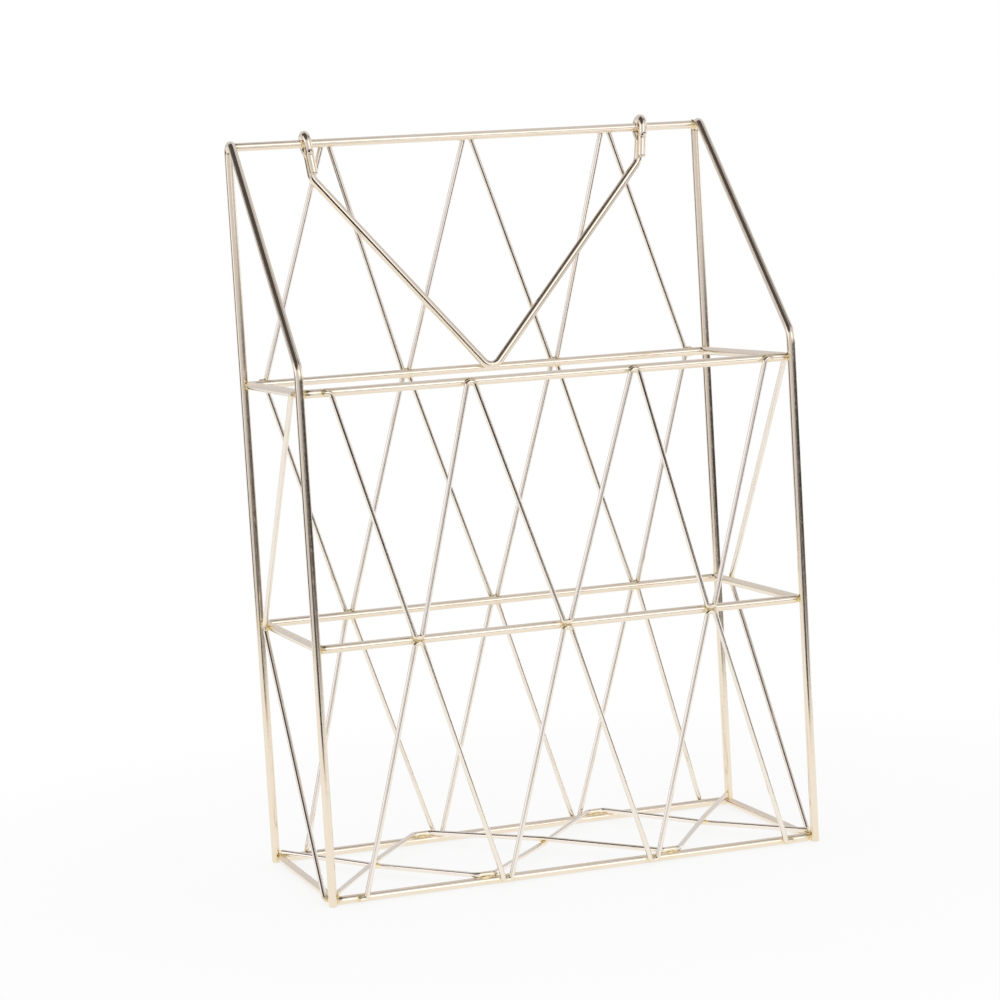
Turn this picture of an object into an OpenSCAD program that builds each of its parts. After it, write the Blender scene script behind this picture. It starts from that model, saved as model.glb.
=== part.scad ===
// Wall magazine rack of welded wire, with a V hanger that swings on the top rail.
// Millimetres, +Z up, front towards -Y. The origin is on the surface that the rack
// stands on, in the middle of its footprint.

/* [Rack] */
// Post axis to post axis, across
rack_w = 240; // [210:1:280]
// Front post axis to rear post axis
rack_d = 104; // [85:1:130]
// Ring axis to ring axis in the two lower tiers
tier_h = 115.5; // [95:0.5:130]
// Upper ring axis to top rail axis
top_h = 113.5; // [95:0.5:130]
// Sharp corner of the front bend above the upper ring axis
shoulder_h = 11.5; // [9:0.5:20]

/* [Wire] */
// Thick wire: side frames, rings, top rail and hanger
frame_d = 4; // [3.5:0.1:4.5]
// Thin wire: lattice, side braces and floor
lattice_d = 2.5; // [2:0.1:3]
// How far a welded wire sinks into the wire that it lies on
weld_set = 0.1; // [0.05:0.01:0.15]

/* [Bends, to the centre line] */
// Ring corners
ring_bend = 3; // [2.6:0.1:5]
// Hairpin at the top of a side frame
top_bend = 4.5; // [3.5:0.1:6]
// Top of the hairpin's centre line above the top rail axis
top_rise = 1; // [0.5:0.1:1.5]
// Bend from the slope to the front post
front_bend = 8; // [5:0.5:12]
// Lattice, side brace and floor wire bends
lattice_bend = 1.8; // [1.6:0.1:2]

/* [Lattice] */
// Flat of a zigzag or brace where it lies on a rail, corner to corner
lattice_flat = 3.2; // [3.1:0.1:5]
// Tail past the last bend
lattice_tail = 3.2; // [2.8:0.1:5]
// Gap between two zigzags that share a rail
share_gap = 0.1; // [0.05:0.05:0.4]
// Front post axis to the last bend of a side brace
brace_end = 10; // [8:0.5:16]
// Rear post axis to the middle of a side brace's flat
brace_in = 15; // [12:0.5:20]

/* [Ends of the zigzags, post axis to last bend] */
// On the front of the upper ring
front_end = 14; // [11:0.5:18]
// On the rear of the upper ring
rear_end = 11; // [9:0.5:16]
// On the bottom ring
bottom_end = 15.5; // [11:0.5:20]

/* [Flats of the zigzags, from the middle of the rack] */
// Outer ones on the front of the middle ring
front_outer = 72; // [66:0.5:78]
// Outer ones on the rear of the middle ring
rear_outer = 75; // [68:0.5:80]
// Outer ones on the top rail
top_outer = 72; // [66:0.5:78]
// Inner ones on the front of the upper ring
front_inner = 40; // [32:0.5:46]
// Inner ones on the rear of the upper ring
rear_inner = 38.5; // [32:0.5:46]
// Inner ones on the bottom ring
bottom_inner = 36.5; // [32:0.5:46]

/* [Floor] */
// Flat of a floor wire where it lies on a rail, corner to corner
floor_flat = 9; // [6:0.5:14]
// Middle of the rack to the middle of that flat
floor_x = 46; // [38:0.5:52]
// How far a floor wire's end runs past the axis of the ring, at its corner
floor_lap = 0.4; // [0.2:0.1:0.6]

/* [Hanger] */
// Middle of a lattice flat on the top rail to the eye next to it
eye_out = 14; // [11:0.5:18]
// Where the hanger sits along the rail, from the middle
hanger_x = 3.5; // [-5:0.5:5]
// Room between an eye and the rail, and between the V and the ring it rests on
eye_gap = 0.3; // [0.25:0.05:0.5]
// Inward tilt of the eyes
eye_tilt = 7; // [0:0.5:9]
// Rail axis to the sharp corner where an eye's shank turns into the V
shank_l = 17; // [15:0.5:22]
// Rail axis to the end of the tail that closes an eye
tail_l = 15; // [11:0.5:16]
// Bend where the shank goes behind the rail
neck_bend = 4; // [3:0.1:5]
// Straight between that bend and the eye
neck_l = 1; // [0.5:0.1:1.5]
// Bend from the shank into the V
shank_bend = 7; // [4:0.5:10]
// Bend at the point of the V
point_bend = 5.5; // [4:0.5:10]
// Point of the V above the upper ring axis
point_rise = 1.3; // [0.5:0.1:2]

/* [Hidden] */
$fn = 64;
gold = [0.86, 0.78, 0.62];
pale_gold = [0.9, 0.84, 0.7];
// Drawn wire is a hair thinner round a bend, and each straight runs a little way into it.
bend_thin = 0.03;
bend_lap = 0.08;

// Rings lie inside the posts and touch them at the corners.
ring_in = (ring_bend + frame_d - weld_set) / sqrt(2) - ring_bend;
// Wire axes of two welded wires that cross.
lattice_off = (frame_d + lattice_d) / 2 - weld_set;
// Two zigzags that share a rail lie just above and just below its axis.
share_h = (lattice_d + share_gap) / 2;
share_off = sqrt(lattice_off ^ 2 - share_h ^ 2);
// Post axis to the end of a floor wire, both ways.
floor_in = ring_in + ring_bend * (1 - 1 / sqrt(2)) - floor_lap;
// Eyes round the top rail.
eye_r = frame_d + eye_gap;
// The lattice reaches furthest forward and the eyes furthest back.
front_reach = lattice_off - ring_in + lattice_d / 2;
rear_reach = eye_r - ring_in + frame_d / 2;

rear_y = (rack_d + front_reach - rear_reach) / 2;
front_y = rear_y - rack_d;
post_x = rack_w / 2;
rail_x = post_x - ring_in;
rail_rear = rear_y - ring_in;
rail_front = front_y + ring_in;

bottom_z = frame_d / 2;
middle_z = bottom_z + tier_h;
upper_z = middle_z + tier_h;
top_z = upper_z + top_h;
shoulder_z = upper_z + shoulder_h;

// The slope runs from the front corner to the hairpin's circle.
hairpin_y = rack_d - top_bend;
hairpin_z = top_z + top_rise - top_bend - shoulder_z;
slope = atan2(hairpin_z, hairpin_y) + asin(top_bend / norm([hairpin_y, hairpin_z]));
peak_z = shoulder_z + rack_d * tan(slope);

// The hanger, measured from the rail axis before it leans.
eye_x = top_outer + eye_out;
shank_y = 0.1 - eye_gap;
neck_reach = norm([eye_r + neck_bend, neck_l]);
neck_turn = acos((shank_y + neck_bend) / neck_reach) - atan2(neck_l, eye_r + neck_bend);
neck_drop = (eye_r + neck_bend) * sin(neck_turn) + neck_l * cos(neck_turn);
point_drop = top_h - point_rise;
rest_y = sqrt((frame_d + eye_gap) ^ 2 - point_rise ^ 2);
lean = asin((rest_y + shank_y) / point_drop);

// Vector of length one along v.
function unit(v) = v / norm(v);

// Corner i of a path, counted round and round.
function corner(path, i) = path[(i + len(path)) % len(path)];

// Straight length that the bend at corner i takes up on each side.
function set_back(path, bends, i) =
    let (
        r = corner(bends, i),
        before = unit(corner(path, i) - corner(path, i - 1)),
        after = unit(corner(path, i + 1) - corner(path, i))
    )
    r == 0 ? 0 : r * tan(acos(before * after) / 2);

// Point on the straight from corner i towards corner k where the bend at i ends.
function bend_end(path, bends, i, k) =
    corner(path, i) + unit(corner(path, k) - corner(path, i)) * set_back(path, bends, i);

// Children moved to p and turned so that their axes lie along x, y and z.
module set_axes(x, y, z, p) {
    multmatrix([
        [x[0], y[0], z[0], p[0]],
        [x[1], y[1], z[1], p[1]],
        [x[2], y[2], z[2], p[2]],
        [0, 0, 0, 1]
    ])
        children();
}

// Straight round wire from p to q, longer by the laps at its two ends.
module straight(p, q, d, lap_p = 0, lap_q = 0) {
    z = unit(q - p);
    x = unit(cross(abs(z[2]) < 0.9 ? [0, 0, 1] : [1, 0, 0], z));
    set_axes(x, cross(z, x), z, p - lap_p * z)
        cylinder(d = d, h = norm(q - p) + lap_p + lap_q);
}

// Round wire bent about a centre, from the side that faces out and onwards along.
module arc(centre, out, along, r, angle, d) {
    set_axes(out, along, cross(out, along), centre)
        rotate_extrude(angle = angle)
            translate([r, 0])
                circle(d = d - bend_thin);
}

// Round wire bent at corner i of a path.
module bend(path, bends, i, d) {
    r = corner(bends, i);
    along = unit(corner(path, i) - corner(path, i - 1));
    after = unit(corner(path, i + 1) - corner(path, i));
    out = cross(along, unit(cross(along, after)));
    arc(bend_end(path, bends, i, i - 1) - r * out, out, along, r, acos(along * after), d);
}

// Round wire along a path of sharp corners, each with its bend radius. An open path has 0
// for the bends at its ends, and ends_lap makes those ends longer.
module bent_wire(path, bends, d, closed = false, ends_lap = 0) {
    last = closed ? len(path) - 1 : len(path) - 2;
    for (i = [0 : last])
        straight(
            bend_end(path, bends, i, i + 1), bend_end(path, bends, i + 1, i), d,
            corner(bends, i) > 0 ? bend_lap : ends_lap,
            corner(bends, i + 1) > 0 ? bend_lap : ends_lap
        );
    for (i = [closed ? 0 : 1 : last])
        bend(path, bends, i, d);
}

// Bend radii of an open path with the same bend at every corner.
function same_bends(path, r) = [for (i = [0 : len(path) - 1]) i == 0 || i == len(path) - 1 ? 0 : r];

// Rear post, hairpin, slope and front post. side is -1 for left, 1 for right.
module side_frame(side) {
    x = side * post_x;
    path = [[x, rear_y, 0], [x, rear_y, peak_z], [x, front_y, shoulder_z], [x, front_y, 0]];
    color(gold)
        bent_wire(path, [0, top_bend, front_bend, 0], frame_d);
}

// Rectangular ring at height z.
module ring(z) {
    path = [[-rail_x, rail_front, z], [rail_x, rail_front, z], [rail_x, rail_rear, z], [-rail_x, rail_rear, z]];
    color(gold)
        bent_wire(path, [ring_bend, ring_bend, ring_bend, ring_bend], frame_d, true);
}

// Left half of a zigzag seen from the front, from its tail to the middle flat. The three
// legs run from the level of the ends to the other level and back. Levels are [y, z].
// end is the last bend from the post, outer and inner are the flats from the middle.
function zigzag_half(ends, others, end, outer, inner) =
    let (
        tip = -post_x + end,
        half = lattice_flat / 2
    )
    [
        concat(tip - lattice_tail, ends), concat(tip, ends),
        concat(-outer - half, others), concat(-outer + half, others),
        concat(-inner - half, ends), concat(-inner + half, ends),
        concat(-half, others)
    ];

// The same half seen in a mirror, last point first.
function mirrored(half) = [for (i = [len(half) - 1 : -1 : 0]) [-half[i][0], half[i][1], half[i][2]]];

// Zigzag wire with both tails on one rail and three flats on the other.
module zigzag(ends, others, end, outer, inner) {
    half = zigzag_half(ends, others, end, outer, inner);
    path = concat(half, mirrored(half));
    color(pale_gold)
        bent_wire(path, same_bends(path, lattice_bend), lattice_d);
}

// V on its side: two tails near the front post and one flat near the rear post.
module side_brace(side) {
    x = side * (rail_x + lattice_off);
    tip_y = front_y + brace_end;
    flat_y = rear_y - brace_in;
    half = lattice_flat / 2;
    path = [
        [x, tip_y - lattice_tail, upper_z], [x, tip_y, upper_z],
        [x, flat_y, middle_z + half], [x, flat_y, middle_z - half],
        [x, tip_y, bottom_z], [x, tip_y - lattice_tail, bottom_z]
    ];
    color(pale_gold)
        bent_wire(path, same_bends(path, lattice_bend), lattice_d);
}

// Floor zigzag of three legs. side is 1 where it starts at the left rear corner, -1 at the
// right rear corner. flex lifts the middle of each leg where the two floor wires cross.
module floor_wire(side, flex) {
    z = bottom_z + lattice_off;
    tip_x = side * (post_x - floor_in);
    near = side * (floor_x - floor_flat / 2);
    far = side * (floor_x + floor_flat / 2);
    rear_tip = [-tip_x, rear_y - floor_in, z];
    front_tip = [tip_x, front_y + floor_in, z];
    flats = [[-far, rail_front, z], [-near, rail_front, z], [near, rail_rear, z], [far, rail_rear, z]];
    cross_at = [0, 0, flex];
    path = [
        rear_tip, (rear_tip + flats[0]) / 2 + cross_at,
        flats[0], flats[1], (flats[1] + flats[2]) / 2 + cross_at,
        flats[2], flats[3], (flats[3] + front_tip) / 2 + cross_at, front_tip
    ];
    soft = 20 * lattice_bend;
    firm = 2 * lattice_bend;
    color(pale_gold)
        bent_wire(path, [0, soft, firm, firm, soft, firm, firm, soft, 0], lattice_d);
}

// Point of the left eye, from y and height in the eye's own plane, tilted inward.
function eye_point(y, v) = [-eye_x - v * sin(eye_tilt), y, v * cos(eye_tilt)];

// Left eye: the tail up to the front of the rail, and the bend over and behind it.
module eye() {
    straight(eye_point(-eye_r, -tail_l), eye_point(-eye_r, 0), frame_d, 0, bend_lap);
    arc(eye_point(0, 0), [0, -1, 0], unit(eye_point(0, 1) - eye_point(0, 0)), eye_r, 180 + neck_turn, frame_d);
}

// Left half of the hanger, from the end of the eye's bend down to the shank's corner.
function hanger_half() = [
    eye_point(eye_r * cos(neck_turn), -eye_r * sin(neck_turn)),
    eye_point(shank_y, neck_bend * tan(neck_turn / 2) - neck_drop),
    eye_point(shank_y, -shank_l)
];

// V with an eye round the top rail at each end.
module v_hanger() {
    half = hanger_half();
    point = [0, shank_y, -point_drop - point_bend * (1 / sin(point_half()) - 1)];
    bends = [0, neck_bend, shank_bend, point_bend, shank_bend, neck_bend, 0];
    color(gold)
        translate([hanger_x, rail_rear, top_z])
            rotate([-lean, 0, 0]) {
                bent_wire(concat(half, [point], mirrored(half)), bends, frame_d, ends_lap = bend_lap);
                for (side = [0, 1])
                    mirror([side, 0, 0])
                        eye();
            }
}

// Angle between a leg of the V and the middle line, found by a few rounds of trial.
function point_half(a = 40, n = 8) =
    n == 0 ? a
    : let (
        from = eye_point(shank_y, -shank_l),
        sharp = point_drop + point_bend * (1 / sin(a) - 1)
    )
    point_half(atan2(-from[0], sharp + from[2]), n - 1);

module side_frame_left() {
    side_frame(-1);
}

module side_frame_right() {
    side_frame(1);
}

// Straight rail with its cut ends against the inside of the two hairpins.
module top_rail() {
    half = post_x - frame_d / 2 + weld_set;
    color(gold)
        straight([-half, rail_rear, top_z], [half, rail_rear, top_z], frame_d);
}

module upper_ring() {
    ring(upper_z);
}

module middle_ring() {
    ring(middle_z);
}

module bottom_ring() {
    ring(bottom_z);
}

// The front lattice lies on the front of the rails.
module front_lattice_upper() {
    zigzag(
        [rail_front - lattice_off, upper_z], [rail_front - share_off, middle_z + share_h],
        front_end, front_outer, front_inner
    );
}

module front_lattice_lower() {
    zigzag(
        [rail_front - lattice_off, bottom_z], [rail_front - share_off, middle_z - share_h],
        bottom_end, front_outer, bottom_inner
    );
}

// The rear lattice lies on the wall side of the rails.
module rear_lattice_top() {
    zigzag(
        [rail_rear + share_off, upper_z + share_h], [rail_rear + lattice_off, top_z],
        rear_end, top_outer, rear_inner
    );
}

module rear_lattice_middle() {
    zigzag(
        [rail_rear + share_off, upper_z - share_h], [rail_rear + share_off, middle_z + share_h],
        rear_end, rear_outer, rear_inner
    );
}

module rear_lattice_lower() {
    zigzag(
        [rail_rear + lattice_off, bottom_z], [rail_rear + share_off, middle_z - share_h],
        bottom_end, rear_outer, bottom_inner
    );
}

module side_brace_left() {
    side_brace(-1);
}

module side_brace_right() {
    side_brace(1);
}

// Where the floor wires cross, one gives way downwards and the other upwards.
module floor_wire_under() {
    floor_wire(1, (weld_set - lattice_d) / 2);
}

module floor_wire_over() {
    floor_wire(-1, (lattice_d - weld_set) / 2);
}

module hanger() {
    v_hanger();
}

side_frame_left();
side_frame_right();
top_rail();
upper_ring();
middle_ring();
bottom_ring();
front_lattice_upper();
front_lattice_lower();
rear_lattice_top();
rear_lattice_middle();
rear_lattice_lower();
side_brace_left();
side_brace_right();
floor_wire_under();
floor_wire_over();
hanger();
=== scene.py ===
"""Wall magazine rack of welded wire in pale gold plate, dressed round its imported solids.

Each wire is a round profile carried along the bent path of its solid, with cut ends, bends that
flatten a little and weld beads where wires meet. Sizes are in millimetres, meshes in metres.
"""

import logging
from dataclasses import dataclass, field
from enum import Enum
from functools import partialmethod
from math import acos, asin, atan2, ceil, cos, hypot, pi, radians, sin, sqrt, tan
from typing import Any, ClassVar, Optional, Union

import bpy
import numpy as np
from mathutils import Matrix


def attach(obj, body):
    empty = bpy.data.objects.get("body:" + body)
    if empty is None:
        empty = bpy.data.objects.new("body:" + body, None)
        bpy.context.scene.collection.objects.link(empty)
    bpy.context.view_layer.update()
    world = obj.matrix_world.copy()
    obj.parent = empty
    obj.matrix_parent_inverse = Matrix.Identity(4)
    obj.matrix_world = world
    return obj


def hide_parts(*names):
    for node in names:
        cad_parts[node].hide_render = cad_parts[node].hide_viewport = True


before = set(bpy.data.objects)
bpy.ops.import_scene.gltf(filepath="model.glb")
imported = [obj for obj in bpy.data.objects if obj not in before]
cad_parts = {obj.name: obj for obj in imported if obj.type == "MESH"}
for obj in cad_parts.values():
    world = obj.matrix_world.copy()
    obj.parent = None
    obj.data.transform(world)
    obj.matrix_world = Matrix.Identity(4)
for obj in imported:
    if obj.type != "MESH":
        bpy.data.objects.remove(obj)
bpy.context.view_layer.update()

LOG = logging.getLogger("magazine_rack")
MM = 0.001
X, Y, Z = np.eye(3)  # to the right, to the wall and up
MIRROR = 1 - 2 * X  # puts a point on the other side
Triple = tuple[float, float, float]
Colour = Triple
Span = tuple[float, float]
Number = Union[float, "Value"]
Options = Optional[dict[Any, Any]]


class Body(Enum):
    """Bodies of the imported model."""

    RACK = "rack"
    HANGER = "hanger"


class Gauge(Enum):
    """The two wires that the rack is bent from, by the name of their material slot."""

    FRAME = "frame_wire"
    LATTICE = "lattice_wire"


class Side(Enum):
    """Left and right, seen from the front."""

    LEFT = -1
    RIGHT = 1


def vec(*numbers: float) -> np.ndarray:
    """The numbers as a float array."""
    return np.array(numbers, float)


def unit(v: np.ndarray) -> np.ndarray:
    """Vectors of length one along the rows of v."""
    return v / np.linalg.norm(v, axis=-1, keepdims=True)


def turned(v: np.ndarray, axis: np.ndarray, angle: np.ndarray) -> np.ndarray:
    """A vector turned about an axis by one or more angles (Rodrigues' formula)."""
    c, s = np.cos(angle)[..., None], np.sin(angle)[..., None]
    return v * c + np.cross(axis, v) * s + axis * (axis @ v) * (1 - c)


@dataclass(frozen=True)
class RackSizes:
    """Sizes of the rack in millimetres, as its solids have them."""

    width: float = 240.0
    depth: float = 104.0
    tier: float = 115.5
    top_tier: float = 113.5
    shoulder: float = 11.5
    frame_d: float = 4.0
    lattice_d: float = 2.5
    weld_set: float = 0.1
    ring_bend: float = 3.0
    top_bend: float = 4.5
    top_rise: float = 1.0
    front_bend: float = 8.0
    lattice_bend: float = 1.8
    flat: float = 3.2
    tail: float = 3.2
    share_gap: float = 0.1
    front_end: float = 14.0
    rear_end: float = 11.0
    bottom_end: float = 15.5
    front_outer: float = 72.0
    rear_outer: float = 75.0
    top_outer: float = 72.0
    front_inner: float = 40.0
    rear_inner: float = 38.5
    bottom_inner: float = 36.5
    brace_end: float = 10.0
    brace_in: float = 15.0
    floor_flat: float = 9.0
    floor_x: float = 46.0
    floor_lap: float = 0.4
    eye_out: float = 14.0
    hanger_x: float = 3.5
    eye_gap: float = 0.3
    eye_tilt: float = radians(7.0)
    shank: float = 17.0
    eye_tail: float = 15.0
    tail_gap: float = 0.1
    neck_bend: float = 4.0
    neck: float = 1.0
    shank_bend: float = 7.0
    point_bend: float = 5.5
    point_rise: float = 1.3

    @property
    def ring_in(self) -> float:
        """Post axis to ring axis, where a ring's corner touches the post."""
        return (self.ring_bend + self.frame_d - self.weld_set) / sqrt(2) - self.ring_bend

    @property
    def lattice_off(self) -> float:
        """Axis to axis where a thin wire lies on a thick one."""
        return (self.frame_d + self.lattice_d) / 2 - self.weld_set

    @property
    def share_h(self) -> float:
        """Height above or below a rail's axis where two zigzags share the rail."""
        return (self.lattice_d + self.share_gap) / 2

    @property
    def share_off(self) -> float:
        """The same, front to back, where two zigzags share a rail."""
        return sqrt(self.lattice_off**2 - self.share_h**2)

    @property
    def eye_r(self) -> float:
        """Radius of an eye's centre line round the top rail."""
        return self.frame_d + self.eye_gap

    @property
    def shank_y(self) -> float:
        """Rail's axis to a shank's axis, behind the tail."""
        return self.tail_gap - self.eye_gap

    @property
    def rear_y(self) -> float:
        """Axis of the rear posts."""
        front = self.lattice_off - self.ring_in + self.lattice_d / 2
        rear = self.eye_r - self.ring_in + self.frame_d / 2
        return (self.depth + front - rear) / 2

    @property
    def front_y(self) -> float:
        """Axis of the front posts."""
        return self.rear_y - self.depth

    @property
    def post_x(self) -> float:
        """Axis of the right posts."""
        return self.width / 2

    @property
    def rail_x(self) -> float:
        """Axis of the rings' right rails."""
        return self.post_x - self.ring_in

    @property
    def rail_rear(self) -> float:
        """Axis of the rings' rear rails and of the top rail."""
        return self.rear_y - self.ring_in

    @property
    def rail_front(self) -> float:
        """Axis of the rings' front rails."""
        return self.front_y + self.ring_in

    @property
    def bottom_z(self) -> float:
        """Axis of the bottom ring."""
        return self.frame_d / 2

    @property
    def middle_z(self) -> float:
        """Axis of the middle ring."""
        return self.bottom_z + self.tier

    @property
    def upper_z(self) -> float:
        """Axis of the upper ring."""
        return self.middle_z + self.tier

    @property
    def top_z(self) -> float:
        """Axis of the top rail."""
        return self.upper_z + self.top_tier

    @property
    def floor_in(self) -> float:
        """Post axis to the tip of a floor wire on the ring's corner, both ways."""
        return self.ring_in + self.ring_bend * (1 - 1 / sqrt(2)) - self.floor_lap

    @property
    def eye_x(self) -> float:
        """Middle of the hanger to the root of an eye."""
        return self.top_outer + self.eye_out


@dataclass
class Centreline:
    """Samples along the axis of a wire.

    Attributes:
        points: places on the axis, one row each.
        side: unit vectors square to the axis that turn with the wire and never twist.
        along: unit vectors along the axis.
        inward: unit vectors to the centre of a bend, zero on straights.
        formed: up to 1 in the middle of a bend, less in a slight one, fading to 0 at its ends.
        closed: whether the wire is a ring.
        upright: share of z in a heading above which it counts as upright.
        shortest: length of a straight that is worth two samples.
        least_turn: turn below which a corner counts as straight.
        full_turn: turn from which a bend is fully formed.
        arc_step: largest turn between samples in a bend.
        arc_parts: least number of parts of a bend.
    """

    points: np.ndarray
    side: np.ndarray
    along: np.ndarray
    inward: np.ndarray
    formed: np.ndarray
    closed: bool
    upright: ClassVar[float] = 0.9
    shortest: ClassVar[float] = 0.02
    least_turn: ClassVar[float] = 1e-6
    full_turn: ClassVar[float] = radians(60)
    arc_step: ClassVar[float] = radians(7)
    arc_parts: ClassVar[int] = 4

    @classmethod
    def bent(cls, corners: np.ndarray, radii: np.ndarray, closed: bool, step: float) -> "Centreline":
        """Axis of a wire bent at sharp corners.

        A bend of radius r and turn a starts r tan(a/2) before its corner and follows a circle; the side
        vector is turned about the bend's axis by the same angle.

        Args:
            corners: sharp corners of the path, one row each.
            radii: bend radius at each corner, 0 at the ends of an open path.
            closed: whether the last corner joins the first.
            step: longest distance between samples on a straight.

        Returns:
            The sampled axis.
        """
        count = len(corners)
        legs = count if closed else count - 1
        heading = unit(np.roll(corners, -1, axis=0) - corners)
        turn = np.arccos(np.clip(np.sum(heading * np.roll(heading, 1, axis=0), axis=1), -1, 1))
        setback = np.where(radii > 0, radii * np.tan(turn / 2), 0.0)
        helper = Z if abs(heading[0][2]) < cls.upright else X
        side = unit(np.cross(helper, heading[0]))
        rows: list[tuple[np.ndarray, ...]] = []
        for i in range(legs):
            j = (i + 1) % count
            start = corners[i] + heading[i] * setback[i]
            end = corners[j] - heading[i] * setback[j]
            length = np.linalg.norm(end - start)
            n = max(2, ceil(length / step) + 1) if length > cls.shortest else 1
            at = start + (end - start) * np.linspace(0, 1, n)[:, None]
            rows.append((at, np.tile(side, (n, 1)), np.tile(heading[i], (n, 1)),
                         np.zeros((n, 3)), np.zeros(n)))
            if radii[j] == 0 or turn[j] < cls.least_turn:
                continue
            axis = unit(np.cross(heading[i], heading[j]))
            inner = np.cross(axis, heading[i])
            k = max(cls.arc_parts, ceil(turn[j] / cls.arc_step))
            a = turn[j] * np.arange(1, k) / k
            sides, along, inward = (turned(v, axis, a) for v in (side, heading[i], inner))
            formed = min(1.0, turn[j] / cls.full_turn) * np.sin(pi * a / turn[j])
            rows.append((end + radii[j] * (inner - inward), sides, along, inward, formed))
            side = turned(side, axis, turn[j])
        return cls(*(np.concatenate(column) for column in zip(*rows)), closed)


@dataclass(frozen=True)
class Weld:
    """Bead of metal where two wires are welded.

    Attributes:
        at: middle of the bead, on the line where the wires touch.
        along: direction of the bead.
        normal: direction from one wire to the other.
        reach: half length, half width and half thickness of the bead.
    """

    at: np.ndarray
    along: np.ndarray
    normal: np.ndarray
    reach: Triple


class MeshMaker:
    """Puts arrays of points and faces into Blender meshes."""

    @staticmethod
    def mesh(name: str, points: np.ndarray, quads: np.ndarray, triangles: np.ndarray) -> bpy.types.Object:
        """An object at the origin with these faces, shaded smooth.

        Args:
            name: name of the object.
            points: places in metres, one row each.
            quads: four point numbers a row.
            triangles: three point numbers a row.

        Returns:
            The new object, linked to the scene.
        """
        data = bpy.data.meshes.new(name)
        loops = np.concatenate([quads.ravel(), triangles.ravel()]).astype(np.int32)
        sizes = np.concatenate([np.full(len(quads), 4), np.full(len(triangles), 3)]).astype(np.int32)
        data.vertices.add(len(points))
        data.vertices.foreach_set("co", points.astype(np.float32).ravel())
        data.loops.add(len(loops))
        data.loops.foreach_set("vertex_index", loops)
        data.polygons.add(len(sizes))
        starts = np.concatenate([[0], np.cumsum(sizes)[:-1]]).astype(np.int32)
        data.polygons.foreach_set("loop_start", starts)
        data.polygons.foreach_set("use_smooth", np.ones(len(sizes), bool))
        data.update(calc_edges=True)
        data.validate()
        piece = bpy.data.objects.new(name, data)
        bpy.context.scene.collection.objects.link(piece)
        return piece

    @staticmethod
    def tube(rings: int, sides: int, closed: bool = False) -> tuple[np.ndarray, np.ndarray]:
        """Faces of rings of points in a row; two end points follow the rings.

        Args:
            rings: rings along the tube.
            sides: points round each ring.
            closed: whether the last ring joins the first, which leaves no ends.

        Returns:
            The quads between the rings, and the triangles that close the ends.
        """
        ring, k = np.arange(rings if closed else rings - 1)[:, None] * sides, np.arange(sides)
        after, beside = (ring + sides) % (rings * sides), (k + 1) % sides
        quads = np.stack([ring + k, ring + beside, after + beside, after + k], -1).reshape(-1, 4)
        if closed:
            return quads, np.zeros((0, 3), int)
        last, cap = (rings - 1) * sides, np.full(sides, rings * sides)
        ends = [np.stack([beside, k, cap], 1), np.stack([last + k, last + beside, cap + 1], 1)]
        return quads, np.concatenate(ends)

    @staticmethod
    def values(piece: bpy.types.Object, name: str, values: np.ndarray) -> None:
        """Stores one number or vector for each point of a piece."""
        vector = values.ndim == 2
        kind = "FLOAT_VECTOR" if vector else "FLOAT"
        layer = piece.data.attributes.new(name, kind, "POINT")
        layer.data.foreach_set("vector" if vector else "value", values.astype(np.float32).ravel())


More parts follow.
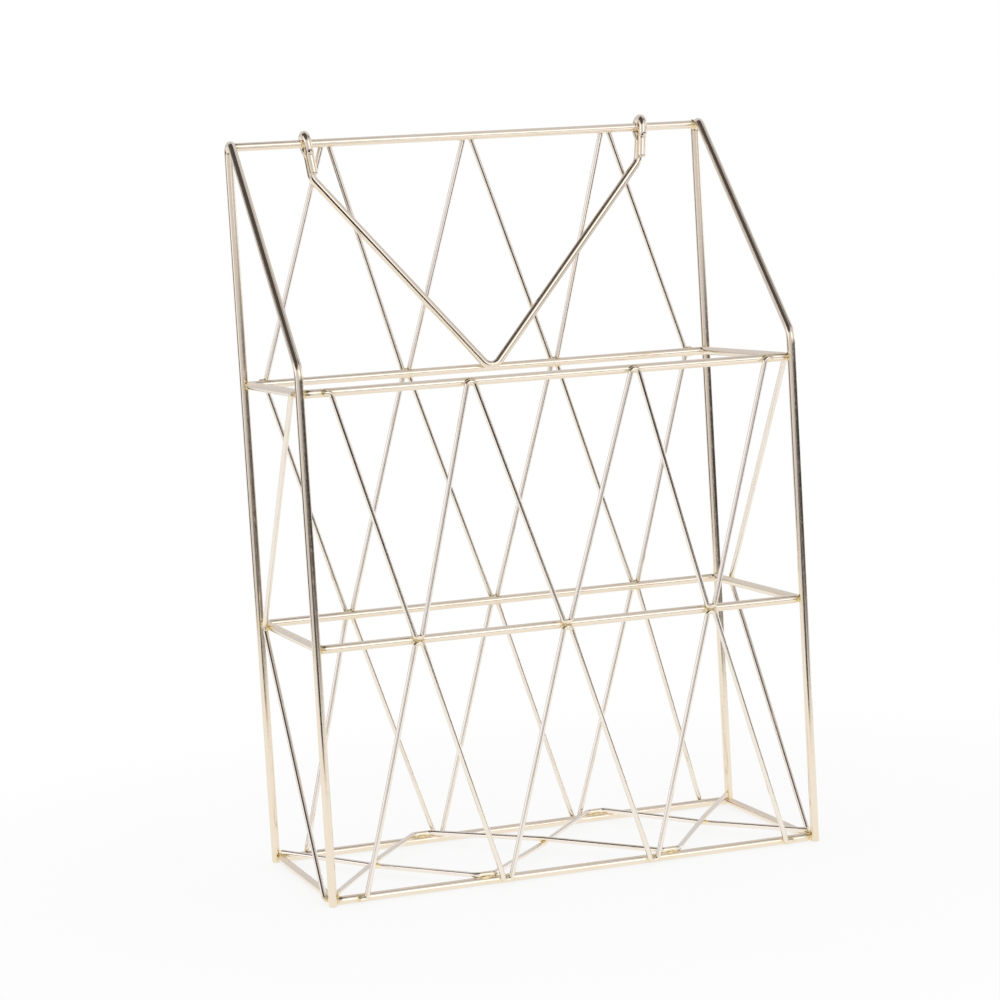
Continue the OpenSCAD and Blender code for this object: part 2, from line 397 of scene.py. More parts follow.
@dataclass
class WireSweep:
    """Round wire carried along a centre line.

    Attributes:
        diameter: wire diameter.
        sides: points round the wire.
        flatten: share by which a bend thins the wire towards its centre.
        spread: share by which it widens across.
        weld_glow: distance over which a weld tints the plate.
        cut: share of the radius below which the surface counts as a cut end.
        end_steps: distance from a cut end, in diameters, and share of the radius there.
    """

    diameter: float
    sides: int
    flatten: float = 0.05
    spread: float = 0.02
    weld_glow: float = 2.6
    cut: float = 0.93
    end_steps: tuple[Span, ...] = ((0.0, 0.8), (0.03, 0.9), (0.09, 0.965), (0.2, 1.0))

    def piece(self, name: str, line: Centreline, welds: list[Weld]) -> bpy.types.Object:
        """The wire as an object with its surface attributes.

        A point is axis + radius (cos t side + sin t other), and in a bend the part towards its centre
        is shortened. The ends are rounded by rings of falling radius and closed by a fan.

        Args:
            name: name of the object.
            line: axis of the wire.
            welds: welds that may tint this wire.

        Returns:
            The new object.
        """
        line, radius = self._with_ends(line)
        t = np.arange(self.sides) * 2 * pi / self.sides
        other = np.cross(line.along, line.side)
        spoke = np.cos(t)[:, None] * line.side[:, None] + np.sin(t)[:, None] * other[:, None]
        inner = line.inward[:, None]
        across = np.cross(line.along, line.inward)[:, None]
        bend = line.formed[:, None, None]
        spoke = (spoke - self.flatten * bend * np.sum(spoke * inner, -1, keepdims=True) * inner
                 + self.spread * bend * np.sum(spoke * across, -1, keepdims=True) * across)
        points = (line.points[:, None] + radius[:, None, None] * spoke).reshape(-1, 3)
        rings = len(line.points)
        caps = 0 if line.closed else 2
        points = np.concatenate([points, line.points[[0, -1]][:caps]])
        piece = MeshMaker.mesh(name, points * MM, *MeshMaker.tube(rings, self.sides, line.closed))
        turn = np.tile(np.stack([np.cos(t), np.sin(t), 0 * t], 1), (rings, 1))
        MeshMaker.values(piece, "turn", np.concatenate([turn, np.zeros((caps, 3))]))
        ring = np.append(np.repeat(np.arange(rings), self.sides), np.array([0, rings - 1])[:caps])
        MeshMaker.values(piece, "formed", line.formed[ring])
        MeshMaker.values(piece, "cut", (radius < self.cut * self.diameter / 2)[ring])
        MeshMaker.values(piece, "weld", self._glow(points, welds))
        return piece

    def _with_ends(self, line: Centreline) -> tuple[Centreline, np.ndarray]:
        """The line with extra samples at its cut ends, and the wire's radius at each sample."""
        r = self.diameter / 2
        if line.closed:
            return line, np.full(len(line.points), r)
        back, scale = np.array(self.end_steps).T
        back = back * self.diameter
        head = line.points[0] + back[:, None] * line.along[0]
        foot = (line.points[-1] - back[:, None] * line.along[-1])[::-1]
        n = len(back)

        def padded(rows: np.ndarray) -> np.ndarray:
            """Rows with the first and last repeated for the extra samples."""
            return np.concatenate([np.repeat(rows[:1], n, 0), rows[1:-1], np.repeat(rows[-1:], n, 0)])

        points = np.concatenate([head, line.points[1:-1], foot])
        others = (padded(rows) for rows in (line.side, line.along, line.inward, line.formed))
        ended = Centreline(points, *others, closed=False)
        middle = np.full(len(line.points) - 2, r)
        return ended, np.concatenate([r * scale, middle, r * scale[::-1]])

    def _glow(self, points: np.ndarray, welds: list[Weld]) -> np.ndarray:
        """1 at a weld, falling off as a bell curve of the distance to the nearest one."""
        at = np.stack([w.at for w in welds])
        gap = np.linalg.norm(points[:, None] - at[None], axis=2).min(1)
        return np.exp(-((gap / self.weld_glow) ** 2))


@dataclass
class WeldBeads:
    """All the weld beads of one part of the rack, as one piece.

    A bead is an ellipsoid whose radius swells and sinks by a few waves, each bead with its own phases.

    Attributes:
        round_steps: points round a bead.
        long_steps: rings along a bead.
        lump: height of the waves, as a share of the radius.
        waves: least and most waves over a bead, in radians a radius.
        scales: least and most size of a bead, as a share of its own.
        seed: start of the random draws.
    """

    round_steps: int = 16
    long_steps: int = 9
    lump: float = 0.09
    waves: Span = (2.0, 4.0)
    scales: Span = (0.88, 1.1)
    seed: int = 7

    def piece(self, name: str, welds: list[Weld]) -> bpy.types.Object:
        """The beads as one object.

        Args:
            name: name of the object.
            welds: the welds to show.

        Returns:
            The new object.
        """
        draw = np.random.default_rng(self.seed)
        u = np.arange(self.round_steps) * 2 * pi / self.round_steps
        v = pi * np.arange(1, self.long_steps + 1) / (self.long_steps + 1)
        far, near = -np.cos(v)[:, None], np.sin(v)[:, None]
        grid = np.stack(np.broadcast_arrays(far, near * np.cos(u), near * np.sin(u)), -1).reshape(-1, 3)
        ball = np.concatenate([grid, [[-1.0, 0, 0], [1.0, 0, 0]]])
        count = len(welds)
        phase = draw.uniform(0, 2 * pi, (count, 3, 1))
        pitch = draw.uniform(*self.waves, (count, 3, 1))
        waves = np.sin(pitch * ball.T[None] + phase).mean(1)
        size = draw.uniform(*self.scales, (count, 1))
        along = unit(np.stack([w.along for w in welds]))
        normal = unit(np.stack([w.normal for w in welds]))
        across = np.cross(normal, along)
        reach = np.array([w.reach for w in welds])
        axes = np.stack([along * reach[:, :1], across * reach[:, 1:2], normal * reach[:, 2:]], 1)
        shape = ball[None] * (size * (1 + self.lump * waves))[..., None]
        points = np.stack([w.at for w in welds])[:, None] + np.einsum("bpk,bkd->bpd", shape, axes)
        quads, fans = MeshMaker.tube(self.long_steps, self.round_steps)
        offset = (np.arange(count) * len(ball))[:, None, None]
        piece = MeshMaker.mesh(name, points.reshape(-1, 3) * MM, (quads + offset).reshape(-1, 4),
                               (fans + offset).reshape(-1, 3))
        MeshMaker.values(piece, "weld", np.ones(count * len(ball)))
        return piece


@dataclass(frozen=True)
class Value:
    """A node socket that takes part in Python expressions, each of which adds a Math node."""

    graph: "Graph"
    socket: bpy.types.NodeSocket

    def _math(self, operation: str, other: Number) -> "Value":
        """A Math node on this value and another."""
        return self.graph.add("ShaderNodeMath", {"operation": operation}, {0: self, 1: other})

    __add__ = __radd__ = partialmethod(_math, "ADD")
    __sub__ = partialmethod(_math, "SUBTRACT")
    __mul__ = __rmul__ = partialmethod(_math, "MULTIPLY")
    most = partialmethod(_math, "MAXIMUM")

    def __rsub__(self, other: float) -> "Value":
        """A number less this value."""
        return self.graph.add("ShaderNodeMath", {"operation": "SUBTRACT"}, {0: other, 1: self})

    def step(self, low: float, high: float) -> "Value":
        """0 below low, 1 above high, a smooth rise between; the other way round where low is higher."""
        falls = low > high
        ends = {"From Min": min(low, high), "From Max": max(low, high),
                "To Min": float(falls), "To Max": float(not falls)}
        return self.graph.add("ShaderNodeMapRange", {"interpolation_type": "SMOOTHSTEP"},
                              {"Value": self, **ends})


class Graph:
    """A node tree that is filled through one method."""

    def __init__(self, tree: bpy.types.NodeTree) -> None:
        """Takes over a node tree and empties it."""
        self.tree = tree
        tree.nodes.clear()

    @classmethod
    def material(cls, name: str) -> tuple[bpy.types.Material, "Graph", Value]:
        """A new material, its graph, and the place on the piece in metres."""
        made = bpy.data.materials.new(name)
        made.use_nodes = True
        g = cls(made.node_tree)
        return made, g, g.add("ShaderNodeTexCoord", out="Object")

    def node(self, kind: str, settings: Options = None, inputs: Options = None) -> bpy.types.Node:
        """Adds a node.

        Args:
            kind: Blender's name of the node type.
            settings: the node's own properties, set first.
            inputs: values or links of its sockets, by name or number.

        Returns:
            The node.
        """
        made = self.tree.nodes.new(kind)
        for key, value in (settings or {}).items():
            setattr(made, key, value)
        for key, value in (inputs or {}).items():
            if isinstance(value, Value):
                self.tree.links.new(value.socket, made.inputs[key])
            else:
                made.inputs[key].default_value = value
        return made

    def add(self, kind: str, settings: Options = None, inputs: Options = None,
            out: Union[int, str] = 0) -> Value:
        """Adds a node and returns one of its outputs as a value; arguments as for node()."""
        return Value(self, self.node(kind, settings, inputs).outputs[out])

    def mix(self, a: Any, b: Any, share: Number) -> Value:
        """Colour that goes from a to b as share goes from 0 to 1."""
        colour = [value if isinstance(value, Value) else (*value, 1.0) for value in (a, b)]
        return self.add("ShaderNodeMix", {"data_type": "RGBA"}, {0: share, 6: colour[0], 7: colour[1]}, 2)

    def vector(self, operation: str, a: Any, b: Any, out: int = 0) -> Value:
        """A Vector Math node on two vectors."""
        return self.add("ShaderNodeVectorMath", {"operation": operation}, {0: a, 1: b}, out)

    def noise(self, at: Value, scale: float, detail: float = 2.0) -> Value:
        """Soft noise round 0.5 at places in metres, with so many swells a metre."""
        return self.add("ShaderNodeTexNoise", None, {"Vector": at, "Scale": scale, "Detail": detail})

    def bump(self, height: Value, strength: float, distance: float) -> Value:
        """Normal of a surface with small heights on it, a distance in metres for each 1."""
        return self.add("ShaderNodeBump", None,
                        {"Strength": strength, "Distance": distance, "Height": height})

    def attribute(self, name: str, out: str = "Fac") -> Value:
        """Attribute of the piece's points."""
        return self.add("ShaderNodeAttribute", {"attribute_name": name}, None, out)


@dataclass(frozen=True)
class GoldPlate:
    """Thin gold-toned plate on bright drawn wire.

    Attributes:
        name: name of the material.
        pale: colour of clean plate.
        warm: colour where the plate is a little thicker.
        deep: colour beside a weld, where heat and the plating bath leave it richest.
        polish: roughness of clean plate.
        grain: height of the drawing lines along the wire, in metres.
        draw_turn: how fast the drawing lines change round the wire.
        draw_run: how fast they change along it.
        tone, mark, speck: swells a metre of the tone, the handling marks and the specks.
        ripple, melt: swells a metre of the coarse and the fine waves on a bead.
    """

    name: str
    pale: Colour = (0.945, 0.842, 0.7)
    warm: Colour = (0.93, 0.812, 0.635)
    deep: Colour = (0.88, 0.72, 0.37)
    polish: float = 0.12
    grain: float = 0.000004
    draw_turn: float = 9.6
    draw_run: float = 22.4
    tone: float = 34.0
    mark: float = 420.0
    speck: float = 2100.0
    ripple: float = 620.0
    melt: float = 2600.0

    def material(self) -> bpy.types.Material:
        """The plate as a material for wires.

        Drawing lines are noise on the angle round the wire, so they run along it; tone, specks and
        handling marks are noise on the place.

        Returns:
            The new material.
        """
        made, g, place = Graph.material(self.name)
        weld, formed, cut = g.attribute("weld"), g.attribute("formed"), g.attribute("cut")
        round_wire = g.vector("MULTIPLY", g.attribute("turn", "Vector"), (self.draw_turn,) * 3)
        along_wire = g.vector("MULTIPLY", place, (self.draw_run,) * 3)
        lines = g.noise(g.vector("ADD", round_wire, along_wire), 1.0, detail=4.0)
        tone, marks = g.noise(place, self.tone, detail=3.0), g.noise(place, self.mark, detail=3.0)
        specks = g.noise(place, self.speck).step(0.66, 0.74)
        thicker = tone.step(0.35, 0.75) * 0.55 + lines.step(0.4, 0.8) * 0.25
        richer = weld * (0.6 + 0.35 * marks) + specks * 0.12
        colour = g.mix(g.mix(self.pale, self.warm, thicker), self.deep, richer)
        handled = marks.step(0.45, 0.8) * 0.05 + lines.step(0.5, 0.8) * 0.04 + specks * 0.1
        rough = self.polish + handled + weld * 0.07 + formed * 0.03 + cut * 0.22
        height = lines + marks * 0.6 + weld * marks * 3.0 + formed * marks * 1.2 + cut * lines * 4.0
        self._shade(g, colour, rough, g.bump(height, 0.5, self.grain))
        return made

    def bead_material(self) -> bpy.types.Material:
        """The plate on a weld bead: richer, rougher and rippled by the melt.

        Returns:
            The new material.
        """
        made, g, place = Graph.material(self.name + "_bead")
        ripple, fine = g.noise(place, self.ripple, detail=3.0), g.noise(place, self.melt)
        colour = g.mix(self.deep, self.warm, ripple.step(0.35, 0.7) * 0.8)
        rough = self.polish + 0.06 + fine.step(0.4, 0.8) * 0.12
        self._shade(g, colour, rough, g.bump(ripple * 8.0 + fine, 0.6, self.grain * 4))
        return made

    def _shade(self, g: Graph, colour: Value, rough: Value, bump: Value) -> None:
        """Ends a graph in a metal surface."""
        metal = g.add("ShaderNodeBsdfPrincipled", None,
                      {"Base Color": colour, "Metallic": 1.0, "Roughness": rough, "Normal": bump})
        g.node("ShaderNodeOutputMaterial", None, {"Surface": metal})


@dataclass
class WirePart:
    """A sub-assembly of bent wires, the base of the classes below.

    Attributes:
        sizes: sizes of the rack.
        plates: the material of each wire gauge.
        beads: the material of the weld beads.
        welds: welds that tint the wires.
        step: longest distance between samples along a wire.
        sides: points round each wire gauge.
    """

    sizes: RackSizes
    plates: dict[Gauge, bpy.types.Material]
    beads: bpy.types.Material
    welds: list[Weld] = field(default_factory=list)
    step: float = 2.2
    sides: ClassVar[dict[Gauge, int]] = {Gauge.FRAME: 32, Gauge.LATTICE: 24}

    def wire(self, node: str, corners: list[np.ndarray], radii: list[float], gauge: Gauge,
             closed: bool = False, body: Body = Body.RACK) -> None:
        """Bends one wire, plates it and lets it stand for its solid.

        Args:
            node: name of the solid that the wire replaces.
            corners: sharp corners of its path.
            radii: bend radius at each corner.
            gauge: which wire it is.
            closed: whether it is a ring.
            body: the body that it moves with.
        """
        diameter = self.sizes.frame_d if gauge is Gauge.FRAME else self.sizes.lattice_d
        sweep = WireSweep(diameter, self.sides[gauge])
        line = Centreline.bent(np.array(corners), np.array(radii, float), closed, self.step)
        piece = sweep.piece(node + "_wire", line, self.welds)
        piece.data.materials.append(self.plates[gauge])
        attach(piece, body.value)
        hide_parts(node)
        LOG.info("%s: %d faces", piece.name, len(piece.data.polygons))

    def bead_piece(self, name: str, welds: list[Weld], gauge: Gauge) -> None:
        """Shows welds as one piece of beads that rides on the rack."""
        piece = WeldBeads(seed=len(name)).piece(name, welds)
        piece.data.materials.append(self.beads)
        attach(piece, Body.RACK.value)
        LOG.info("%s: %d beads", name, len(welds))


@dataclass
class Frame(WirePart):
    """Side frames, top rail and the three rings."""

    corner_bead: Triple = (2.0, 1.5, 1.0)
    rail_bead: Triple = (2.35, 2.35, 0.9)

    def own_welds(self) -> list[Weld]:
        """Welds of the ring corners on the posts and of the top rail in the hairpins."""
        s = self.sizes
        made = []
        for z in (s.bottom_z, s.middle_z, s.upper_z):
            for sx in (-1, 1):
                for y, sy in ((s.front_y, -1), (s.rear_y, 1)):
                    out = unit(vec(sx, sy, 0))
                    at = vec(sx * s.post_x, y, z) - out * s.frame_d / 2
                    made.append(Weld(at, Z, out, self.corner_bead))
        for sx in (-1, 1):
            at = vec(sx * (s.post_x - s.frame_d / 2), s.rail_rear, s.top_z)
            made.append(Weld(at, Z, sx * X, self.rail_bead))
        return made

    def build(self) -> None:
        """Bends the six wires and shows their welds."""
        s = self.sizes
        hairpin_y = s.depth - s.top_bend
        shoulder_z = s.upper_z + s.shoulder
        hairpin_z = s.top_z + s.top_rise - s.top_bend - shoulder_z
        slope = atan2(hairpin_z, hairpin_y) + asin(s.top_bend / hypot(hairpin_y, hairpin_z))
        peak_z = shoulder_z + s.depth * tan(slope)
        for side in Side:
            x = side.value * s.post_x
            corners = [vec(x, s.rear_y, 0), vec(x, s.rear_y, peak_z), vec(x, s.front_y, shoulder_z),
                       vec(x, s.front_y, 0)]
            radii = [0, s.top_bend, s.front_bend, 0]
            self.wire("side_frame_" + side.name.lower(), corners, radii, Gauge.FRAME)
        half = s.post_x - s.frame_d / 2 + s.weld_set
        ends = [vec(x, s.rail_rear, s.top_z) for x in (-half, half)]
        self.wire("top_rail", ends, [0, 0], Gauge.FRAME)
        rings = {"upper_ring": s.upper_z, "middle_ring": s.middle_z, "bottom_ring": s.bottom_z}
        for name, z in rings.items():
            corners = [vec(-s.rail_x, s.rail_front, z), vec(s.rail_x, s.rail_front, z),
                       vec(s.rail_x, s.rail_rear, z), vec(-s.rail_x, s.rail_rear, z)]
            self.wire(name, corners, [s.ring_bend] * 4, Gauge.FRAME, closed=True)
        self.bead_piece("frame_welds", self.own_welds(), Gauge.FRAME)


@dataclass(frozen=True)
class ZigzagRun:
    """Where one zigzag meets its two rails.

    Attributes:
        ends: y and z of the level that its tails lie on.
        others: y and z of its other level.
        end: post axis to the foot of the first leg.
        outer: middle of the rack to its outer flats, on the other level.
        inner: middle of the rack to its inner flats, on the tails' level.
    """

    ends: Span
    others: Span
    end: float
    outer: float
    inner: float


@dataclass
class Lattice(WirePart):
    """Zigzag wires of the front and the back."""

    flat_bead: Triple = (2.7, 1.7, 0.9)

    def runs(self) -> dict[str, ZigzagRun]:
        """The run of each zigzag, by the name of its solid."""
        s = self.sizes
        front, front_shared = s.rail_front - s.lattice_off, s.rail_front - s.share_off
        rear, rear_shared = s.rail_rear + s.lattice_off, s.rail_rear + s.share_off
        over, under = s.middle_z + s.share_h, s.middle_z - s.share_h
        top_over, top_under = s.upper_z + s.share_h, s.upper_z - s.share_h
        return {
            "front_lattice_upper": ZigzagRun(
                (front, s.upper_z), (front_shared, over), s.front_end, s.front_outer, s.front_inner),
            "front_lattice_lower": ZigzagRun(
                (front, s.bottom_z), (front_shared, under), s.bottom_end, s.front_outer, s.bottom_inner),
            "rear_lattice_top": ZigzagRun(
                (rear_shared, top_over), (rear, s.top_z), s.rear_end, s.top_outer, s.rear_inner),
            "rear_lattice_middle": ZigzagRun(
                (rear_shared, top_under), (rear_shared, over), s.rear_end, s.rear_outer, s.rear_inner),
            "rear_lattice_lower": ZigzagRun(
                (rear, s.bottom_z), (rear_shared, under), s.bottom_end, s.rear_outer, s.bottom_inner),
        }

    def corners(self, run: ZigzagRun) -> list[np.ndarray]:
        """Sharp corners of a zigzag from its left tail to its right one."""
        s = self.sizes
        tip, h = s.post_x - run.end, s.flat / 2
        half = [vec(-tip - s.tail, *run.ends), vec(-tip, *run.ends),
                vec(-run.outer - h, *run.others), vec(-run.outer + h, *run.others),
                vec(-run.inner - h, *run.ends), vec(-run.inner + h, *run.ends), vec(-h, *run.others)]
        return half + [p * MIRROR for p in half[::-1]]

    def own_welds(self, face: str = "") -> list[Weld]:
        """Welds of the tails and flats of the zigzags on their rails, of one face or of both."""
        s = self.sizes
        rails = (s.bottom_z, s.middle_z, s.upper_z, s.top_z)
        made = []
        for path in (self.corners(run) for name, run in self.runs().items() if name.startswith(face)):
            for a, b in zip(path[::2], path[1::2]):
                middle = (a + b) / 2
                z = min(rails, key=lambda r: abs(r - middle[2]))
                rail = vec(middle[0], s.rail_front if middle[1] < 0 else s.rail_rear, z)
                out = unit(middle - rail)
                made.append(Weld(rail + out * (s.frame_d / 2), X, out, self.flat_bead))
        return made

    def build(self) -> None:
        """Bends the five zigzags and shows their welds."""
        for name, run in self.runs().items():
            corners = self.corners(run)
            radii = [0.0] + [self.sizes.lattice_bend] * (len(corners) - 2) + [0.0]
            self.wire(name, corners, radii, Gauge.LATTICE)
        for face in ("front", "rear"):
            self.bead_piece(face + "_lattice_welds", self.own_welds(face), Gauge.LATTICE)


@dataclass
class SideBraces(WirePart):
    """Thin wires bent to a V on its side, one on each side of the rack."""

    tail_bead: Triple = (2.4, 1.6, 0.85)
    cross_bead: Triple = (1.7, 1.3, 0.7)

    def corners(self, side: Side) -> list[np.ndarray]:
        """Sharp corners of a brace from its upper tail to its lower one."""
        s = self.sizes
        x = side.value * (s.rail_x + s.lattice_off)
        tip_y = s.front_y + s.brace_end
        flat_y = s.rear_y - s.brace_in
        half = s.flat / 2
        return [vec(x, tip_y - s.tail, s.upper_z), vec(x, tip_y, s.upper_z),
                vec(x, flat_y, s.middle_z + half), vec(x, flat_y, s.middle_z - half),
                vec(x, tip_y, s.bottom_z), vec(x, tip_y - s.tail, s.bottom_z)]

    def own_welds(self) -> list[Weld]:
        """Welds of the tails and flats on the rings' side rails."""
        s = self.sizes
        made = []
        for side in Side:
            path = self.corners(side)
            out = side.value * X
            for a, b in zip(path[::2], path[1::2]):
                at = (a + b) / 2 + out * (s.frame_d / 2 - s.lattice_off)
                reach = self.tail_bead if a[2] == b[2] else self.cross_bead
                made.append(Weld(at, Y, out, reach))
        return made

    def build(self) -> None:
        """Bends the two braces and shows their welds."""
        radii = [0.0] + [self.sizes.lattice_bend] * 4 + [0.0]
        for side in Side:
            self.wire("side_brace_" + side.name.lower(), self.corners(side), radii, Gauge.LATTICE)
        self.bead_piece("brace_welds", self.own_welds(), Gauge.LATTICE)


@dataclass
class Floor(WirePart):
    """Two floor wires that cross on the bottom ring.

    Attributes:
        soft: bend radius where they cross, in bends of the lattice.
        firm: bend radius at their flats, in bends of the lattice.
    """

    soft: float = 20.0
    firm: float = 2.0
    flat_bead: Triple = (3.3, 1.7, 0.9)
    end_bead: Triple = (1.8, 1.6, 0.85)
    cross_bead: Triple = (1.3, 0.9, 0.45)

    def corners(self, side: Side) -> list[np.ndarray]:
        """Sharp corners of a floor wire; the right-hand one starts at the left rear and passes under."""
        s = self.sizes
        sign = side.value
        z = s.bottom_z + s.lattice_off
        near, far = sign * (s.floor_x - s.floor_flat / 2), sign * (s.floor_x + s.floor_flat / 2)
        tip_x = sign * (s.post_x - s.floor_in)
        rear_tip, front_tip = vec(-tip_x, s.rear_y - s.floor_in, z), vec(tip_x, s.front_y + s.floor_in, z)
        flats = [vec(-far, s.rail_front, z), vec(-near, s.rail_front, z), vec(near, s.rail_rear, z),
                 vec(far, s.rail_rear, z)]
        give = vec(0, 0, -sign * (s.lattice_d - s.weld_set) / 2)
        return [rear_tip, (rear_tip + flats[0]) / 2 + give, flats[0],
                flats[1], (flats[1] + flats[2]) / 2 + give, flats[2],
                flats[3], (flats[3] + front_tip) / 2 + give, front_tip]

    def own_welds(self) -> list[Weld]:
        """Welds of the flats and ends on the bottom ring, and of the wires where they cross."""
        s = self.sizes
        down = vec(0, 0, s.lattice_off - s.frame_d / 2)
        made = []
        both = [self.corners(side) for side in Side]
        for path in both:
            for a, b in ((2, 3), (5, 6)):
                made.append(Weld((path[a] + path[b]) / 2 - down, X, Z, self.flat_bead))
            for tip in (path[0], path[-1]):
                made.append(Weld(tip - down, Y, Z, self.end_bead))
        for i, j in ((1, 7), (4, 4), (7, 1)):
            made.append(Weld((both[0][i] + both[1][j]) / 2, X, Z, self.cross_bead))
        return made

    def build(self) -> None:
        """Bends the two floor wires and shows their welds."""
        soft, firm = self.soft * self.sizes.lattice_bend, self.firm * self.sizes.lattice_bend
        radii = [0, soft, firm, firm, soft, firm, firm, soft, 0]
        self.wire("floor_wire_under", self.corners(Side.RIGHT), radii, Gauge.LATTICE)
        self.wire("floor_wire_over", self.corners(Side.LEFT), radii, Gauge.LATTICE)
        self.bead_piece("floor_welds", self.own_welds(), Gauge.LATTICE)


@dataclass
class Hanger(WirePart):
    """V of thick wire with an eye round the top rail at each end.

    Attributes:
        eye_parts: bends that an eye is made of.
        pinch: how far the wire stands out above the pinch that closes the eye under the rail.
        pinch_low: rail's axis down to the pinch.
        pinch_high: rail's axis down to where the wire stands out most.
        pinch_bend: bend radius at both.
        flare: how far the tail's end stands off the shank.
        seam: rail's axis down to the places where the tail is joined to the shank.
        first_angle: first guess of the angle between an arm and the upright.
        rounds: rounds of the search for that angle.
    """

    step: float = 1.6
    eye_parts: int = 3
    pinch: float = 0.48
    pinch_low: float = 4.9
    pinch_high: float = 3.2
    pinch_bend: float = 2.2
    flare: float = 0.8
    seam: Span = (7.5, 11.0)
    first_angle: float = radians(40)
    rounds: int = 12

    def eye_point(self, y: float, height: float) -> np.ndarray:
        """Point in the tilted plane of the left eye, from the rail's axis."""
        s = self.sizes
        return vec(-s.eye_x - height * sin(s.eye_tilt), y, height * cos(s.eye_tilt))

    def half(self) -> tuple[list[np.ndarray], list[float]]:
        """Corners and bends of the left half, from the tail's end to the shank's corner.

        The eye is one circle, so it is given as the corners of the polygon round it.
        """
        s = self.sizes
        arm = s.eye_r + s.neck_bend
        turn = acos((s.shank_y + s.neck_bend) / hypot(arm, s.neck)) - atan2(s.neck, arm)
        drop = arm * sin(turn) + s.neck * cos(turn)
        part = (pi + turn) / self.eye_parts
        angles = [(k + 0.5) * part for k in range(self.eye_parts)]
        far = s.eye_r / cos(part / 2)
        places = [(-s.eye_r - self.flare, -s.eye_tail), (-s.eye_r, -self.pinch_low),
                  (-s.eye_r - self.pinch, -self.pinch_high)]
        places += [(-far * cos(a), far * sin(a)) for a in angles]
        places += [(s.shank_y, s.neck_bend * tan(turn / 2) - drop), (s.shank_y, -s.shank)]
        bends = [0.0, self.pinch_bend, self.pinch_bend] + [s.eye_r] * self.eye_parts
        return [self.eye_point(*p) for p in places], bends + [s.neck_bend, s.shank_bend]

    def build(self) -> None:
        """Bends the hanger in its own plane, leans it and hangs it on the rail."""
        s = self.sizes
        corners, radii = self.half()
        drop = s.top_tier - s.point_rise
        start = corners[-1]
        half_angle = self.first_angle
        for _ in range(self.rounds):
            sharp = drop + s.point_bend * (1 / sin(half_angle) - 1)
            half_angle = atan2(-start[0], sharp + start[2])
        path = corners + [vec(0, s.shank_y, -sharp)] + [p * MIRROR for p in corners[::-1]]
        rest_y = sqrt(s.eye_r**2 - s.point_rise**2)
        lean = asin((rest_y + s.shank_y) / drop)
        tip = np.array([[1, 0, 0], [0, cos(lean), sin(lean)], [0, -sin(lean), cos(lean)]])
        place = vec(s.hanger_x, s.rail_rear, s.top_z)
        hung = [tip @ p + place for p in path]
        seams = [self.eye_point((s.shank_y - s.eye_r) / 2, -low) for low in self.seam]
        seams += [p * MIRROR for p in seams]
        self.welds = [Weld(tip @ p + place, Z, Y, (1, 1, 1)) for p in seams]
        self.wire("hanger", hung, radii + [s.point_bend] + radii[::-1], Gauge.FRAME, body=Body.HANGER)


@dataclass(frozen=True)
class Patch:
    """Round patch of light or shade on the walls of the studio.

    Attributes:
        azimuth: direction of its middle in degrees, from the front to the right.
        elevation: height of its middle in degrees.
        inner: angle from the middle up to which it is full, in degrees.
        outer: angle from the middle at which it has faded out.
        amount: light that it adds, or share of the light that it takes away.
    """

    azimuth: float
    elevation: float
    inner: float
    outer: float
    amount: float


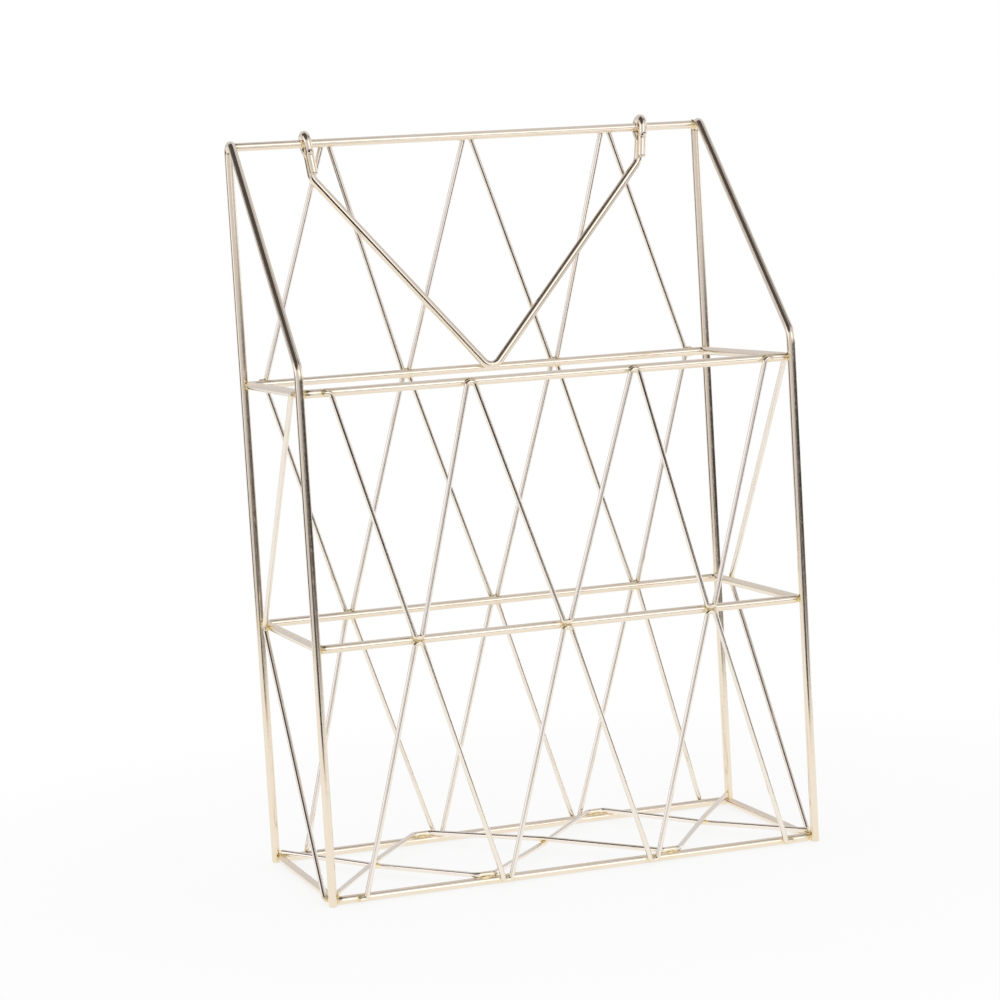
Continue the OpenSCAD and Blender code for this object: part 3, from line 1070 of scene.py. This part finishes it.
@dataclass(frozen=True)
class Studio:
    """Camera, pale floor and soft light.

    Attributes:
        lens, sensor: focal length and width of the sensor.
        clip: nearest and farthest distance that shows, in metres.
        eye: place of the camera.
        right, up, back: the camera's axes.
        floor_x, floor_y: edges of the floor, left and right, front and rear.
        floor_drop: gap between the feet and the floor.
        floor_matt: share of light that the floor scatters.
        floor_plain: share of plain white that the camera sees on the floor beside the rack.
        floor_fade: distances from the rack, in metres, over which that share grows to 1.
        floor_tone: brightness of the floor in mirrors.
        wall: brightness of the walls in mirrors.
        tint: colour of the light.
        dusk: colour of the dark patches, a little browner.
        dusk_span: brightness up to which the colour is dusk, and from which it is tint.
        lights: patches that are brighter or duller than the walls.
        shades: dark patches, overhead and low in front.
        sweep: pale sweep of the floor, low in front on the right.
        low_shade: dark band below the horizon; its heights are in band.
        band: sines of the elevations where the band starts, is full, ends being full and ends.
    """

    lens: float = 104.132
    sensor: float = 36.0
    clip: Span = (0.01, 50.0)
    eye: Triple = (-445.311, -1302.041, 311.266)
    right: Triple = (0.94517485, -0.32128677, -0.05847489)
    up: Triple = (0.08757553, 0.07687106, 0.99318748)
    back: Triple = (-0.31460297, -0.94385680, 0.10079345)
    floor_x: Span = (-900.0, 500.0)
    floor_y: Span = (-380.0, 1500.0)
    floor_drop: float = 0.05
    floor_matt: float = 0.88
    floor_plain: float = 0.8
    floor_fade: Span = (0.2, 0.45)
    floor_tone: float = 0.93
    wall: float = 0.66
    tint: Colour = (1.005, 1.0, 1.055)
    dusk: Colour = (1.1, 0.945, 0.93)
    dusk_span: Span = (0.08, 0.45)
    lights: tuple[Patch, ...] = (Patch(14, 17.3, 2, 23.5, 0.83), Patch(-93.5, 17.5, 21, 27, 0.52),
                                 Patch(100.5, -1, 16, 22, 0.8), Patch(-116, -17, 20, 26, -0.59))
    shades: tuple[Patch, ...] = (Patch(-66, 64.5, 36, 41, 0.9), Patch(76, 53, 10, 15.5, 0.95),
                                 Patch(-129, 33, 9, 15, 0.93), Patch(-17.5, -35.5, 29, 33.5, 1.0))
    sweep: Patch = Patch(22.5, -20.5, 10.5, 16.5, 0.44)
    low_shade: Patch = Patch(53.5, 0, 52.5, 57, 0.99)
    band: tuple[float, float, float, float] = (-0.173, -0.133, -0.042, -0.012)

    def camera(self) -> None:
        """Sets up the camera at the photograph's viewpoint."""
        data = bpy.data.cameras.new("camera")
        data.sensor_fit, data.sensor_width, data.lens = "HORIZONTAL", self.sensor, self.lens
        data.clip_start, data.clip_end = self.clip
        made = bpy.data.objects.new("camera", data)
        bpy.context.scene.collection.objects.link(made)
        place = np.eye(4)
        place[:3] = np.stack([self.right, self.up, self.back, vec(*self.eye) * MM], 1)
        made.matrix_world = Matrix(place.tolist())
        bpy.context.scene.camera = made

    def floor(self) -> None:
        """Lays the pale floor, which shows white and keeps a soft shadow near the rack."""
        (left, right), (front, rear), z = self.floor_x, self.floor_y, -self.floor_drop
        corners = np.array([[left, front, z], [right, front, z], [right, rear, z], [left, rear, z]])
        piece = MeshMaker.mesh("floor", corners * MM, np.array([[0, 1, 2, 3]]), np.zeros((0, 3), int))
        made, g, place = Graph.material("pale_floor")
        far = g.vector("LENGTH", place, (0.0, 0.0, 0.0), 1).step(*self.floor_fade)
        camera, mirror = self._rays(g)
        matt = g.add("ShaderNodeBsdfDiffuse", None, {"Color": (*[self.floor_matt] * 3, 1.0)})
        white = g.add("ShaderNodeEmission", None,
                      {"Color": (1.0, 1.0, 1.0, 1.0), "Strength": camera + mirror * self.floor_tone})
        plain = self.floor_plain + (1 - self.floor_plain) * far
        shown = g.add("ShaderNodeMixShader", None, {0: mirror + camera * plain, 1: matt, 2: white})
        g.node("ShaderNodeOutputMaterial", None, {"Surface": shown})
        piece.data.materials.append(made)

    @staticmethod
    def _rays(g: Graph) -> tuple[Value, Value]:
        """1 for rays from the camera, and 1 for rays from a mirror or through glass."""
        outputs = g.node("ShaderNodeLightPath").outputs
        kinds = ("Is Camera Ray", "Is Glossy Ray", "Is Transmission Ray")
        camera, glossy, clear = (Value(g, outputs[kind]) for kind in kinds)
        return camera, glossy.most(clear)

    def world(self) -> None:
        """A white room; mirrors see its lit walls, dark overhead and low in front.

        A patch is a smooth step of the cosine between the ray and the patch's middle. Lights add to the
        walls and shades multiply them.
        """
        made = bpy.data.worlds.new("studio")
        bpy.context.scene.world = made
        made.use_nodes = True
        g = Graph(made.node_tree)
        ray = g.add("ShaderNodeTexCoord", out="Generated")
        mirror = self._rays(g)[1]

        def patch(p: Patch) -> Value:
            """1 in the patch, fading to 0 outside it."""
            a, e = radians(p.azimuth), radians(p.elevation)
            aim = (sin(a) * cos(e), -cos(a) * cos(e), sin(e))
            return g.vector("DOT_PRODUCT", ray, aim, 1).step(cos(radians(p.outer)), cos(radians(p.inner)))

        glow: Number = self.wall
        for light in self.lights:
            glow = glow + patch(light) * light.amount
        for shade in self.shades:
            glow = glow * (1 - patch(shade) * shade.amount)
        glow = glow + patch(self.sweep) * self.sweep.amount
        height = g.vector("DOT_PRODUCT", ray, Z, 1)
        low = height.step(*self.band[:2]) * height.step(*self.band[:1:-1]) * patch(self.low_shade)
        glow = glow * (1 - low * self.low_shade.amount)
        tint = g.mix(self.dusk, self.tint, glow.step(*self.dusk_span))
        colour = g.mix((1.0, 1.0, 1.0), tint, mirror)
        shown = g.add("ShaderNodeBackground", None, {"Color": colour, "Strength": 1 + mirror * (glow - 1)})
        g.node("ShaderNodeOutputWorld", None, {"Surface": shown})

    def build(self) -> None:
        """Puts up the whole studio."""
        bpy.context.scene.view_settings.view_transform = "Standard"
        self.camera()
        self.floor()
        self.world()


def main() -> None:
    """Builds the rack part by part and the studio round it."""
    logging.basicConfig(level=logging.INFO, format="%(name)s %(message)s")
    sizes = RackSizes()
    Studio().build()
    thick = GoldPlate("frame_plate")
    thin = GoldPlate("lattice_plate", pale=(0.97, 0.9, 0.805), warm=(0.955, 0.875, 0.76))
    plates = {Gauge.FRAME: thick.material(), Gauge.LATTICE: thin.material()}
    shared = (sizes, plates, thick.bead_material())
    parts = [kind(*shared) for kind in (Frame, Lattice, SideBraces, Floor)]
    welds = [weld for part in parts for weld in part.own_welds()]
    for part in parts:
        part.welds = welds
        part.build()
    Hanger(*shared).build()


if __name__ == "__main__":
    main()
